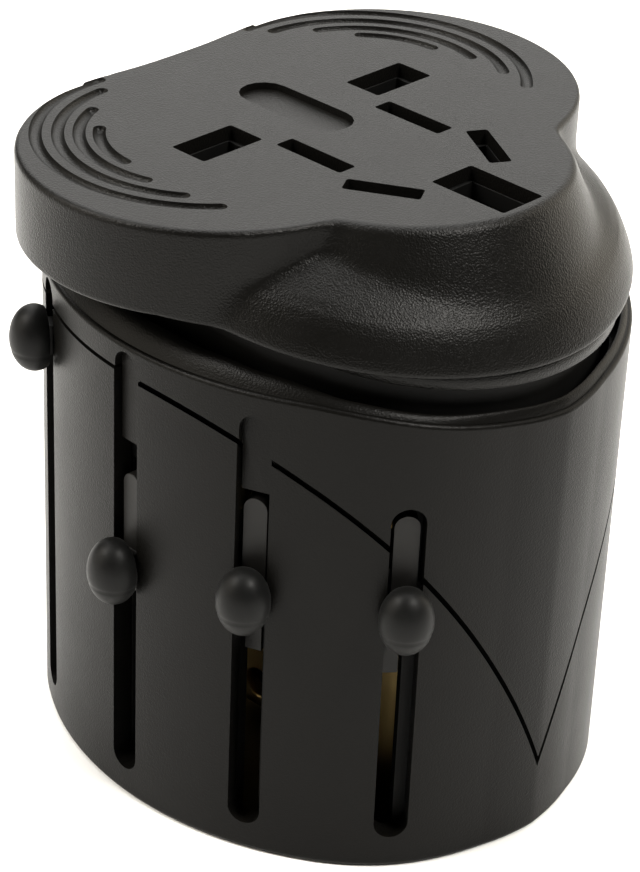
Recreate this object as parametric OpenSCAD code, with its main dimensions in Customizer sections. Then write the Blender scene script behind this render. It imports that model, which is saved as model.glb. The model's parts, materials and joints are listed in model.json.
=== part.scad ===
// Travel adapter: a three-lobed socket head that presses down on an oval body
// with four thumb sliders, each of which pushes one plug out through the base.
// Millimetres. Origin: centre of the base. +Z up, the earth socket faces -Y.

/* [Body] */
// Height of the socket face above the base
total_h = 63;
// Radius of the two long side arcs of the body outline
side_r = 33.7; // [33:0.1:34.4]
// Distance of each side arc's centre from the middle plane
side_off = 8.63;
// Radius of the front and back arcs of the body outline
end_r = 23.4;
// Distance of each end arc's centre from the middle
end_off = 5.65;
// Casing wall thickness
wall = 2.0; // [1.6:0.1:2.2]
// Height of the shoulder's outer edge at the sides
rim_h = 49;
// How far the shoulder drops towards the front
rim_drop = 3; // [0:0.1:3.5]
// Height of the parting line at the sides
split_h = 46.3;
// Height of the tip of the upper casing's V at the front
split_tip = 8.2;
// Gap shown along the parting line
split_gap = 0.35; // [0.2:0.05:0.5]

/* [Slider slots] */
// Width of each slot in the casing
slot_w = 3.2;
// Lowest point of each slot
slot_low = 3.0;
// Top of the three short windows
window_top = 38.8;
// Depth at which the slider bars and the casing fingers lie
groove_depth = 0.8;
// Width of the bar on each slider
bar_w = 2.3; // [2.0:0.05:2.6]
// How far each bar reaches above its knob
bar_up = 9.4;

/* [Knobs] */
// Knob width
knob_w = 4.9; // [4.4:0.1:5.2]
// Knob height
knob_h = 6.5;
// How far each knob's centre stands off the casing
knob_out = 1.4;
// Height of the four knobs, from the back slot to the front slot
knob_z = [42.3, 26.0, 28.6, 28.6];

/* [Plug layout] */
// Position of the three-pin plug's mains pins along Y
uk_y = 14.5;
// Position of the round-pin plug along Y
eu_y = 8.6;
// Position of the parallel-blade plug along Y
us_y = 1.2;
// Position of the slanted-blade plug along Y
aus_y = -17;
// Undersides of the four carriers at rest
carrier_z = [35.3, 21.7, 20.8, 20.3];
// Thickness of the carriers
carrier_t = 3.5;
// Round-pin diameter
eu_pin_d = 4.0;

/* [Head] */
// Distance of the live and neutral openings from the middle
socket_x = 11.1;
// Position of the live and neutral openings along Y
socket_y = 4.5;
// Radius of the two back lobes
lobe_r = 18;
// Radius of the front lobe
nose_r = 15.4;
// Height of the head's underside at the lobes
head_low = 54.6;
// Thickness of the socket face
face_t = 1.4; // [1.2:0.1:1.6]
// Width of the grip grooves
groove_w = 1.15; // [0.9:0.05:1.3]
// Depth of the grip grooves
groove_t = 0.5; // [0.3:0.05:0.7]

/* [Hidden] */

$fn = 96;
big = 200;
split_cx = 111;
split_cz = -37.84;
split_r = sqrt(split_cx * split_cx + (split_tip - split_cz) * (split_tip - split_cz));
core_out = 2.4;
core_in = 4.2;
deck_low = 44.6;
core_top = 41.2;
slope_a = atan((head_low - 51) / 24.5);
plate_low = total_h - face_t - 1.7;
screw_at = [[8, 20.6], [-8, 20.6], [0, -22.7], [19, 0]];

// Body outline, drawn in by d all round
module oval(d = 0) {
  translate([0, end_off]) circle(r = end_r - d);
  translate([0, -end_off]) circle(r = end_r - d);
  intersection() {
    translate([side_off, 0]) circle(r = side_r - d);
    translate([-side_off, 0]) circle(r = side_r - d);
    square([60, 36.8 - 2 * d * 0.546], center = true);
  }
}

// Round-ended outline of the neck opening
module neck_outline(r) {
  translate([0, -6.3]) circle(r = r);
  translate([0, 3.5]) circle(r = r);
  translate([-r, -6.3]) square([2 * r, 9.8]);
}

// Puts its children on one of the four slots, outside towards -X
module at_slot(i) {
  if (i == 0) translate([side_off, 0, 0]) rotate([0, 0, -29]) translate([-side_r, 0, 0]) children();
  if (i == 1) translate([side_off, 0, 0]) rotate([0, 0, -2]) translate([-side_r, 0, 0]) children();
  if (i == 2) translate([side_off, 0, 0]) rotate([0, 0, 22]) translate([-side_r, 0, 0]) children();
  if (i == 3) translate([0, -end_off, 0]) rotate([0, 0, 51.4]) translate([-end_r, 0, 0]) children();
}

// Upright round-ended bar reaching inwards from depth x0 to depth x1
module upright(x0, x1, w, z0, z1) {
  translate([x0, -w / 2, z0 + w / 2]) cube([x1 - x0, w, z1 - z0 - w]);
  translate([x0, 0, z0 + w / 2]) rotate([0, 90, 0]) cylinder(d = w, h = x1 - x0, $fn = 32);
  translate([x0, 0, z1 - w / 2]) rotate([0, 90, 0]) cylinder(d = w, h = x1 - x0, $fn = 32);
}

// Everything under the parting line
module under_split(gap = 0) {
  intersection() {
    translate([-big / 2, -big / 2, -1]) cube([big, big, split_h - gap + 1]);
    union() {
      translate([-big / 2, 0, -1]) cube([big, big, big]);
      for (s = [-1, 1])
        translate([s * split_cx, 0, split_cz]) rotate([90, 0, 0])
          cylinder(r = split_r - gap, h = 60, $fn = 360);
    }
  }
}

// Everything under the shoulder's edge, which dips at the front
module under_rim() {
  drop_r = 13.5 * 13.5 / (2 * rim_drop) + rim_drop / 2;
  translate([-40, -15.5, -1]) cube([80, 60, rim_h + 1]);
  translate([-40, -15.5, rim_h - drop_r]) rotate([0, 90, 0]) cylinder(r = drop_r, h = 80, $fn = 180);
}

// The four slots as cutters
module slot_cuts() {
  at_slot(0) upright(-1.5, 4.4, slot_w, slot_low, rim_h - 0.8);
  at_slot(1) upright(-1.5, wall + 1, slot_w, slot_low, window_top + 1.5);
  at_slot(2) upright(-1.5, wall + 1, slot_w, slot_low, window_top + 1.5);
  at_slot(3) upright(-1.5, wall + 1, slot_w, slot_low + 0.5, window_top + 0.4);
}

module lower_casing() {
  color([0.09, 0.085, 0.08])
  difference() {
    intersection() {
      linear_extrude(split_h) oval();
      under_split(split_gap);
    }
    translate([0, 0, -1]) linear_extrude(big) oval(wall);
    slot_cuts();
    for (i = [1, 2])
      at_slot(i) translate([-1.5, -slot_w / 2, slot_low + 2]) cube([wall + 2.5, slot_w, 60]);
  }
}

module upper_casing() {
  color([0.1, 0.095, 0.09]) {
    difference() {
      intersection() {
        linear_extrude(rim_h) oval();
        under_rim();
      }
      under_split();
      translate([0, 0, -1]) linear_extrude(deck_low + 1) oval(wall);
      translate([0, 0, deck_low - 1]) linear_extrude(10) neck_outline(21);
      at_slot(0) upright(-1.5, 5.2, slot_w, slot_low, rim_h - 0.8);
      at_slot(3) upright(-1.5, wall + 1, slot_w, slot_low + 0.5, window_top + 0.4);
      for (i = [1, 2])
        at_slot(i) upright(-1.5, groove_depth, slot_w - 0.3, 30, [0, 48.2, 46.6][i]);
    }
    for (i = [1, 2])
      at_slot(i) translate([groove_depth, -slot_w / 2 + 0.2, window_top]) cube([1.1, slot_w - 0.4, 8.4]);
  }
}

module base_plate() {
  color([0.11, 0.105, 0.1])
  difference() {
    linear_extrude(2) oval(wall + 0.15);
    for (s = [-1, 1]) {
      translate([s * 11.1 - 3.5, uk_y - 2.3, -1]) cube([7.0, 4.6, 4]);
      translate([s * 9.5, eu_y, -1]) cylinder(d = eu_pin_d + 0.7, h = 4);
      translate([s * 6.35 - 1.05, us_y - 3.5, -1]) cube([2.1, 7.0, 4]);
      translate([s * 6.85, aus_y, -1]) rotate([0, 0, s * -30]) translate([-1.1, -3.5, 0]) cube([2.2, 7.0, 4]);
    }
    translate([-2.3, uk_y - 22.2 - 4.3, -1]) cube([4.6, 8.6, 4]);
    for (p = screw_at) {
      translate([p[0], p[1], -1]) cylinder(d = 2.3, h = 4, $fn = 32);
      translate([p[0], p[1], -1]) cylinder(d = 4.3, h = 1.9, $fn = 32);
    }
  }
}

module core_frame() {
  color([0.05, 0.05, 0.05])
  difference() {
    union() {
      difference() {
        translate([0, 0, 2.1]) linear_extrude(core_top - 2.1) oval(core_out);
        translate([0, 0, 1]) linear_extrude(core_top) oval(core_in);
      }
      translate([0, 0, core_top - 1.8]) linear_extrude(1.8) oval(core_out);
      for (i = [0 : 2])
        translate([screw_at[i][0], screw_at[i][1], 2.1]) cylinder(d = 3.4, h = core_top - 3, $fn = 32);
      translate([17.9, -1.7, 2.1]) cube([3.2, 3.4, core_top - 3]);
    }
    for (p = screw_at) translate([p[0], p[1], 1]) cylinder(d = 2.04, h = 11, $fn = 32);
    at_slot(0) translate([1, -1.7, 1]) cube([3.4, 3.4, big]);
    at_slot(1) translate([1, -1.7, 1]) cube([6, 3.4, 35]);
    at_slot(2) translate([1, -0.5, 1]) cube([6, 2.3, 37]);
    at_slot(3) translate([1, -0.5, 1]) cube([6, 2.3, 37]);
  }
}

module socket_block() {
  color([0.07, 0.07, 0.07])
  difference() {
    translate([0, 0, core_top + 0.05]) linear_extrude(10.8) intersection() {
      neck_outline(18.2);
      translate([-19, -26]) square([38, 37.6]);
    }
    for (s = [-1, 1]) {
      translate([s * 10.2 - 5.3, -15.8, core_top + 1.2]) cube([10.6, 24.2, 20]);
      translate([s * 4.4 - 1.4, -0.2, core_top + 1.2]) cube([2.8, 4.0, 20]);
    }
    translate([-3.7, -22.6, core_top + 1.2]) cube([7.4, 10.2, 20]);
    for (s = [-1, 1]) translate([s * 14.8, 10.4, core_top - 1]) cylinder(d = 5.2, h = 20);
  }
}

// One pair of spring leaves that grips a pin: gap between leaves, leaf length
module leaf_pair(gap, len, low, high) {
  for (s = [-1, 1])
    translate([-len / 2, s * (gap / 2 + 0.25) - 0.25, low]) cube([len, 0.5, high - low]);
}

// Contact set of one pole, on side s
module pole_contact(s) {
  z0 = core_top + 1.3;
  translate([s * 10.2 - 4.9, -15.2, z0]) cube([9.8, 23.0, 0.8]);
  translate([s * socket_x, socket_y, 0]) leaf_pair(4.3, 5.6, z0 + 0.4, 51.6);
  translate([s * 6.35, socket_y - 7.57, 0]) rotate([0, 0, 90]) leaf_pair(1.7, 5.0, z0 + 0.4, 51.6);
  translate([s * 7.2, socket_y - 16.0, 0]) rotate([0, 0, 90 - s * 30]) leaf_pair(1.7, 4.4, z0 + 0.4, 51.6);
}

module line_contact() {
  color([0.78, 0.62, 0.3]) pole_contact(-1);
}

module neutral_contact() {
  color([0.78, 0.62, 0.3]) pole_contact(1);
}

module earth_contact() {
  z0 = core_top + 1.3;
  color([0.78, 0.62, 0.3]) {
    translate([-3.3, -22.4, z0]) cube([6.6, 9.4, 0.8]);
    translate([0, socket_y - 22.2, 0]) rotate([0, 0, 90]) leaf_pair(5.2, 6.4, z0 + 0.4, 51.6);
  }
}

module line_rail() {
  color([0.78, 0.62, 0.3]) translate([-19.05, 3.6, 2.2]) cube([0.6, 6.0, core_top - 4.2]);
}

module neutral_rail() {
  color([0.78, 0.62, 0.3]) translate([17.9, -9.2, 2.2]) cube([0.6, 6.0, core_top - 4.2]);
}

module casing_screws() {
  color([0.7, 0.7, 0.72])
  for (p = screw_at) {
    translate([p[0], p[1], 0.2]) difference() {
      cylinder(d = 4.0, h = 0.7, $fn = 32);
      translate([-1.2, -0.25, -0.1]) cube([2.4, 0.5, 0.5]);
      translate([-0.25, -1.2, -0.1]) cube([0.5, 2.4, 0.5]);
    }
    translate([p[0], p[1], 0.85]) cylinder(d = 2.0, h = 10, $fn = 32);
  }
}

module head_springs() {
  color([0.75, 0.76, 0.78])
  for (s = [-1, 1])
    translate([s * 14.8, 10.4, core_top + 0.9])
      for (k = [0 : 13])
        translate([0, 0, 1.305 * k])
          rotate([k % 2 == 0 ? 15.5 : -15.5, 0, 0])
            rotate_extrude($fn = 40) translate([1.9, 0]) circle(d = 0.45, $fn = 16);
}

// Three-lobed outline of the socket face, drawn in by d
module trefoil(d = 0) {
  for (s = [-1, 1]) translate([s * socket_x, socket_y]) circle(r = lobe_r - d);
  translate([0, -7.5]) circle(r = nose_r - d);
  translate([-socket_x, 0]) square([2 * socket_x, socket_y + lobe_r - d]);
}

// The head as a solid, drawn in by d
module head_solid(d = 0) {
  translate([0, 0, 45]) linear_extrude(total_h - d - 45) trefoil(d);
  intersection() {
    translate([0, -4.5, head_low]) rotate([slope_a, 0, 0]) translate([0, -0.1, 0]) {
      translate([0, 0, -3]) cylinder(r = 23.9 - d, h = 4.6);
      translate([0, 0, 1.59]) cylinder(r1 = 23.9 - d, r2 = 21.2 - d, h = 3.2);
      translate([0, 0, 4.78]) cylinder(r1 = 21.2 - d, r2 = 16.6 - d, h = 2.4);
    }
    translate([-50, -50, 0]) cube([100, 100, total_h - d]);
  }
  translate([0, -9.3, 51]) cylinder(r1 = 19.3 - d, r2 = 13.5 - d, h = total_h - d - 51);
  translate([0, -9.3, 49]) cylinder(r = 19.3 - d, h = 2.01);
}

// Everything above the head's underside, moved by up
module above_slope(up = 0) {
  translate([-50, -4.5, head_low + up]) cube([100, 60, 40]);
  translate([-50, -4.5, head_low + up]) rotate([slope_a, 0, 0]) translate([0, -50, 0]) cube([100, 62, 40]);
}

// Openings for every pin shape; g lengthens them, t widens them
module pin_openings(g = 0, t = 0) {
  for (s = [-1, 1]) {
    translate([s * socket_x, socket_y]) square([7.25 + 2 * g, 4.14 + 2 * t], center = true);
    translate([s * 6.35, socket_y - 7.57]) square([2.05 + 2 * t, 7.9 + 2 * g], center = true);
    translate([s * 6.85, socket_y - 16.3]) rotate([0, 0, s * -30]) square([2.1 + 2 * t, 7.0 + 2 * g], center = true);
  }
  translate([0, socket_y - 22.2]) square([5.17 + 2 * t, 8.38 + 2 * g], center = true);
}

// Curved grip groove on the +X lobe: radius and half the angle it spans
module grip_groove(r, half) {
  mid = 24.3;
  translate([10.5, 6.8, total_h - groove_t]) {
    rotate([0, 0, mid - half]) rotate_extrude(angle = 2 * half)
      translate([r - groove_w / 2, 0]) square([groove_w, 2]);
    for (a = [mid - half, mid + half])
      translate([r * cos(a), r * sin(a), 0]) cylinder(d = groove_w, h = 2, $fn = 24);
  }
}

module grip_grooves() {
  grip_groove(15.1, 76);
  grip_groove(13.1, 63);
  grip_groove(11.2, 44);
  grip_groove(9.4, 23);
}

module head_shell() {
  color([0.12, 0.115, 0.11])
  difference() {
    intersection() {
      head_solid();
      above_slope();
    }
    intersection() {
      translate([0, 0, 1.8 - face_t]) head_solid(1.8);
      translate([-50, -50, 0]) cube([100, 100, total_h - face_t]);
    }
    translate([0, 0, 50]) linear_extrude(20) pin_openings();
    translate([0, 5.7, total_h - 0.7]) linear_extrude(2) {
      translate([0, 4.0]) circle(d = 4.9, $fn = 40);
      translate([0, -4.0]) circle(d = 4.9, $fn = 40);
      square([4.9, 8], center = true);
    }
    grip_grooves();
    mirror([1, 0, 0]) grip_grooves();
  }
}

module inner_plate() {
  color([0.06, 0.06, 0.06])
  difference() {
    translate([0, 0, plate_low]) linear_extrude(1.65) trefoil(2.6);
    translate([0, 0, 50]) linear_extrude(20) pin_openings(-0.3, -0.04);
  }
}

module head_skirt() {
  color([0.08, 0.075, 0.07]) {
    difference() {
      union() {
        intersection() {
          translate([0, 0, 1.8 - face_t]) head_solid(2.0);
          difference() {
            above_slope(0.3);
            above_slope(1.5);
          }
        }
        intersection() {
          translate([0, 0, 45]) linear_extrude(12) {
            neck_outline(20.2);
            translate([0, -9.3]) circle(r = 18.95);
          }
          difference() {
            above_slope(-1.6);
            above_slope(-0.03);
          }
        }
        difference() {
          translate([0, 0, 43.6]) linear_extrude(12) neck_outline(20.2);
          above_slope(-0.5);
        }
        intersection() {
          translate([0, 0, 45]) linear_extrude(12) neck_outline(19.7);
          translate([-50, -50, 40]) cube([100, 70.4, 20]);
          difference() {
            above_slope(-0.6);
            above_slope(0.6);
          }
        }
      }
      translate([0, 0, 40]) linear_extrude(20) neck_outline(18.8);
    }
    for (s = [-1, 1])
      translate([s * 20.5 - 0.9, -5, 43.6]) cube([1.8, 6, 0.9]);
  }
}

// Arm and bar that tie a carrier to its knob through slot i
module slider_arm(i, reach, low, top, bar_top, bar_low) {
  at_slot(i) {
    upright(groove_depth, wall, bar_w, bar_low, bar_top);
    translate([wall - 0.6, -0.8 + (i > 1 ? 0.6 : 0), bar_low + 1]) cube([3.0, 1.6, top - bar_low - 1]);
    translate([core_out + 0.2, -0.8 + (i > 1 ? 0.6 : 0), low]) cube([reach - core_out - 0.2, 1.6, top - low]);
    translate([-knob_out, -1.0, knob_z[i] - 1.5]) cube([knob_out + 1, 2.0, 3.0]);
  }
}

// Rounded thumb knob on slot i
module knob(i) {
  r = knob_w / 2;
  at_slot(i) translate([-knob_out, 0, knob_z[i]]) difference() {
    intersection() {
      union() {
        cylinder(r = r, h = knob_h - 2 * r, center = true, $fn = 48);
        for (s = [-1, 1]) translate([0, 0, s * (knob_h / 2 - r)]) sphere(r = r, $fn = 48);
      }
      translate([-10, -10, -10]) cube([10 + knob_out - 0.35, 20, 20]);
    }
    translate([-0.05, -1.05, -1.55]) cube([5, 2.1, 3.1]);
  }
}

// Plain cuboid given by two corners
module block(x0, x1, y0, y1, z0, z1) {
  translate([x0, y0, z0]) cube([x1 - x0, y1 - y0, z1 - z0]);
}

module uk_carrier() {
  z = carrier_z[0];
  color([0.1, 0.1, 0.1])
  difference() {
    union() {
      intersection() {
        translate([0, 0, z - 1]) linear_extrude(carrier_t + 2) oval(4.5);
        union() {
          block(-14.9, 17.3, uk_y - 2.5, uk_y + 1.9, z, z + carrier_t);
          block(14.2, 17.3, -9.9, uk_y, z, z + carrier_t);
          block(0, 17.3, -9.9, -5.5, z, z + carrier_t);
          block(-3.0, 3.0, -12.4, -3.1, z, z + carrier_t);
        }
      }
      intersection() {
        slider_arm(0, 7.6, z, z + 9.5, 46.8, z + 2.2);
        union() {
          at_slot(0) translate([-5, -5, 0]) cube([9.0, 10, 60]);
          translate([-40, -40, 0]) cube([80, 80, z + carrier_t]);
        }
      }
    }
    for (s = [-1, 1])
      block(s * 11.1 - 3.24, s * 11.1 + 3.24, uk_y - 2.06, uk_y + 2.06, z - 1, z + 2.55);
    block(-2.06, 2.06, uk_y - 22.2 - 4.06, uk_y - 22.2 + 4.06, z - 1, z + 2.55);
  }
}

// Flat pin with a chamfered tip, standing below height z
module flat_pin(w, d, z, len) {
  difference() {
    block(-w / 2, w / 2, -d / 2, d / 2, z - len, z + 2.5);
    for (a = [0, 180]) rotate([0, 0, a]) translate([w / 2 - 0.7, -d, z - len])
      rotate([0, 30, 0]) cube([3, 2 * d, 3]);
  }
}

module uk_mains_pins() {
  color([0.82, 0.66, 0.32])
  for (s = [-1, 1]) translate([s * 11.1, uk_y, 0]) flat_pin(6.35, 4.0, carrier_z[0], 20.0);
}

module uk_earth_pin() {
  color([0.82, 0.66, 0.32])
  translate([0, uk_y - 22.2, 0]) rotate([0, 0, 90]) flat_pin(8.0, 4.0, carrier_z[0], 25.0);
}

module uk_knob() {
  color([0.2, 0.2, 0.2]) knob(0);
}

module eu_carrier() {
  z = carrier_z[1];
  color([0.1, 0.1, 0.1])
  difference() {
    union() {
      block(-18.2, 12.6, eu_y - 2.8, eu_y + 2.8, z, z + carrier_t);
      block(-18.2, -15.2, -1.2, eu_y, z, z + carrier_t);
      slider_arm(1, 9.0, z, z + 8.5, knob_z[1] + bar_up, knob_z[1] - 3);
    }
    for (s = [-1, 1]) translate([s * 9.5, eu_y, z - 1]) cylinder(d = 4.06, h = 3.55);
    block(-19, -17.6, 10.4, 14, z - 1, z + 5);
  }
}

module eu_pins() {
  color([0.85, 0.86, 0.88])
  for (s = [-1, 1]) translate([s * 9.5, eu_y, carrier_z[1]]) {
    translate([0, 0, 0]) cylinder(d = eu_pin_d, h = 2.5);
    translate([0, 0, -11.1]) cylinder(d = 3.0, h = 11.2);
    translate([0, 0, -20.1]) cylinder(d = eu_pin_d, h = 9.1);
    translate([0, 0, -20.1]) intersection() {
      sphere(d = eu_pin_d);
      translate([-3, -3, -1.2]) cube([6, 6, 1.21]);
    }
  }
}

module eu_pin_sleeves() {
  color([0.06, 0.06, 0.06])
  for (s = [-1, 1]) translate([s * 9.5, eu_y, carrier_z[1] - 10.95]) difference() {
    cylinder(d = eu_pin_d - 0.1, h = 10.9);
    translate([0, 0, -1]) cylinder(d = 3.04, h = 13);
  }
}

module eu_knob() {
  color([0.2, 0.2, 0.2]) knob(1);
}

module us_carrier() {
  z = carrier_z[2];
  color([0.1, 0.1, 0.1])
  difference() {
    union() {
      block(-14.4, 9, us_y - 3.6, us_y + 3.8, z, z + carrier_t);
      block(-14.4, -11.6, -10.6, us_y, z, z + carrier_t);
      slider_arm(2, 10.4, z, z + 12, knob_z[2] + bar_up, knob_z[2] - 3);
    }
    for (s = [-1, 1])
      block(s * 6.35 - 0.81, s * 6.35 + 0.81, us_y - 3.21, us_y + 3.21, z - 1, z + 2.55);
  }
}

module us_blades() {
  color([0.82, 0.66, 0.32])
  for (s = [-1, 1]) translate([s * 6.35, us_y, 0]) rotate([0, 0, 90]) difference() {
    flat_pin(6.35, 1.55, carrier_z[2], 20.4);
    translate([0, 0, carrier_z[2] - 16.5]) rotate([90, 0, 0]) cylinder(d = 3.1, h = 4, center = true, $fn = 32);
  }
}

module us_knob() {
  color([0.2, 0.2, 0.2]) knob(2);
}

module aus_carrier() {
  z = carrier_z[3];
  color([0.1, 0.1, 0.1])
  difference() {
    union() {
      block(-10.6, 10.6, aus_y - 3.8, aus_y + 3.8, z, z + carrier_t);
      slider_arm(3, 8.0, z, z + 12, knob_z[3] + bar_up, knob_z[3] - 3);
    }
    for (s = [-1, 1]) translate([s * 6.85, aus_y, 0]) rotate([0, 0, s * -30])
      block(-0.83, 0.83, -3.21, 3.21, z - 1, z + 2.55);
  }
}

module aus_blades() {
  color([0.82, 0.66, 0.32])
  for (s = [-1, 1]) translate([s * 6.85, aus_y, 0]) rotate([0, 0, 90 - s * 30])
    flat_pin(6.35, 1.6, carrier_z[3], 19.9);
}

module aus_knob() {
  color([0.2, 0.2, 0.2]) knob(3);
}

lower_casing();
upper_casing();
base_plate();
core_frame();
socket_block();
line_contact();
neutral_contact();
earth_contact();
line_rail();
neutral_rail();
casing_screws();
head_springs();
head_shell();
inner_plate();
head_skirt();
uk_carrier();
uk_mains_pins();
uk_earth_pin();
uk_knob();
eu_carrier();
eu_pins();
eu_pin_sleeves();
eu_knob();
us_carrier();
us_blades();
us_knob();
aus_carrier();
aus_blades();
aus_knob();
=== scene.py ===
import json
import math

import bmesh
import bpy
from mathutils import Matrix, Vector

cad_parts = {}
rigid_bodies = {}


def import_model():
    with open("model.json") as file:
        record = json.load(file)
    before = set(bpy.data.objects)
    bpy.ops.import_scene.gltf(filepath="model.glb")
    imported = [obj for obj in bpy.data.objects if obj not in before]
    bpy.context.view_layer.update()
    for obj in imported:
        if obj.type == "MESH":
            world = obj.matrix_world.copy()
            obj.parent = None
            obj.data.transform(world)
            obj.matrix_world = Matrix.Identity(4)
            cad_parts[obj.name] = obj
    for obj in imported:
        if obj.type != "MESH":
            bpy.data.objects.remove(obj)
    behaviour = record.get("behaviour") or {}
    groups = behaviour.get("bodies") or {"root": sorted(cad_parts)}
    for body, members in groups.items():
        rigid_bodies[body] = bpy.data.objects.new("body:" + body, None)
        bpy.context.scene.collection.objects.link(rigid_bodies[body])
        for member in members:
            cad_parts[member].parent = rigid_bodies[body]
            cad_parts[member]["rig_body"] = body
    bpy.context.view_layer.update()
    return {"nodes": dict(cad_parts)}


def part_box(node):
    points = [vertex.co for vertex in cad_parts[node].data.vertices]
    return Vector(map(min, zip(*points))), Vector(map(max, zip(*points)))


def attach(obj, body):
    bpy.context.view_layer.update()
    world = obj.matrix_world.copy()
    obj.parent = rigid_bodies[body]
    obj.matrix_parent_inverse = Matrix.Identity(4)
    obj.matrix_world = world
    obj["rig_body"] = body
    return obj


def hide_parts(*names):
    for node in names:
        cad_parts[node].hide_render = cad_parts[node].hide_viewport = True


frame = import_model()
mm = 0.001
scene = bpy.context.scene
print("frame loaded:", len(frame["nodes"]), "parts")


# small helpers for meshes

def newObject(name, mesh):
    obj = bpy.data.objects.new(name, mesh)
    scene.collection.objects.link(obj)
    return obj


def meshFrom(name, points, faces, merge=0.0):
    # points are in millimetres, the mesh is in metres with its faces outwards
    bm = bmesh.new()
    verts = [bm.verts.new(Vector(p) * mm) for p in points]
    for face in faces:
        bm.faces.new([verts[i] for i in face])
    if merge:
        bmesh.ops.remove_doubles(bm, verts=bm.verts, dist=merge * mm)
    bmesh.ops.recalc_face_normals(bm, faces=bm.faces)
    mesh = bpy.data.meshes.new(name)
    bm.to_mesh(mesh)
    bm.free()
    return newObject(name, mesh)


def ringFaces(here, there, count):
    # the strip of faces between two closed rings of points, given by their first points
    return [[here + i, here + (i + 1) % count, there + (i + 1) % count, there + i] for i in range(count)]


def extrudeOutline(name, outline, place):
    # outline: 2D points, place: turns (u, v, end) into a point, end is 0 or 1
    count = len(outline)
    points = [place(u, v, 0) for u, v in outline] + [place(u, v, 1) for u, v in outline]
    faces = [list(range(count)), list(range(2 * count - 1, count - 1, -1))]
    faces += [[i, i + count, (i + 1) % count + count, (i + 1) % count] for i in range(count)]
    return meshFrom(name, points, faces)


def flatten(obj):
    # live modifiers become plain mesh
    graph = bpy.context.evaluated_depsgraph_get()
    old = obj.data
    obj.data = bpy.data.meshes.new_from_object(obj.evaluated_get(graph))
    obj.modifiers.clear()
    bpy.data.meshes.remove(old)
    return obj


def joinMeshes(pieces, faceOutwards=False):
    # several loose meshes become the first one
    if len(pieces) > 1:
        bm = bmesh.new()
        for piece in pieces:
            bm.from_mesh(piece.data)
        if faceOutwards:
            bmesh.ops.recalc_face_normals(bm, faces=bm.faces)
        bm.to_mesh(pieces[0].data)
        bm.free()
        for piece in pieces[1:]:
            bpy.data.objects.remove(piece)
    return pieces[0]


def carve(obj, cutters, operation="DIFFERENCE", overlapping=False):
    cutter = joinMeshes(cutters)
    step = obj.modifiers.new("carve", "BOOLEAN")
    step.operation = operation
    step.solver = "EXACT"
    step.use_self = overlapping
    step.object = cutter
    flatten(obj)
    bpy.data.objects.remove(cutter)
    return obj


def softenEdges(obj, width, angle=40, segments=2):
    bevel = obj.modifiers.new("softEdges", "BEVEL")
    bevel.width = width * mm
    bevel.segments = segments
    bevel.limit_method = "ANGLE"
    bevel.angle_limit = math.radians(angle)
    bevel.use_clamp_overlap = True
    bevel.miter_outer = "MITER_ARC"
    flatten(obj)
    return smoothShade(obj)


def evenNormals(obj):
    # large flat faces keep their shade right up to the rounded edges
    weighted = obj.modifiers.new("evenNormals", "WEIGHTED_NORMAL")
    weighted.mode = "FACE_AREA_WITH_ANGLE"
    weighted.weight = 60
    weighted.keep_sharp = True
    return flatten(obj)


def smoothShade(obj, angle=42):
    obj.data.polygons.foreach_set("use_smooth", [True] * len(obj.data.polygons))
    obj.data.set_sharp_from_angle(angle=math.radians(angle))
    obj.data.update()
    return obj


def finishPiece(obj, body, slotName, material, *nodes):
    obj.data.materials.clear()
    obj.data.materials.append(material)
    obj.data.polygons.foreach_set("material_index", [0] * len(obj.data.polygons))
    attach(obj, body)
    if nodes:
        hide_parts(*nodes)
    return obj


# shader maths

class Sock:
    # one output socket, used in plain expressions
    def __init__(self, tree, out):
        self.tree = tree
        self.out = out

    def maths(self, operation, first, second):
        return self.tree.add("ShaderNodeMath", {"operation": operation}, {0: first, 1: second})

    def __add__(self, other):
        return self.maths("ADD", self, other)

    def __radd__(self, other):
        return self.maths("ADD", other, self)

    def __sub__(self, other):
        return self.maths("SUBTRACT", self, other)

    def __rsub__(self, other):
        return self.maths("SUBTRACT", other, self)

    def __mul__(self, other):
        return self.maths("MULTIPLY", self, other)

    def __rmul__(self, other):
        return self.maths("MULTIPLY", other, self)

    def clamp(self, low=0.0, high=1.0):
        return self.tree.add("ShaderNodeClamp", {}, {"Value": self, "Min": low, "Max": high})


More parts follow.
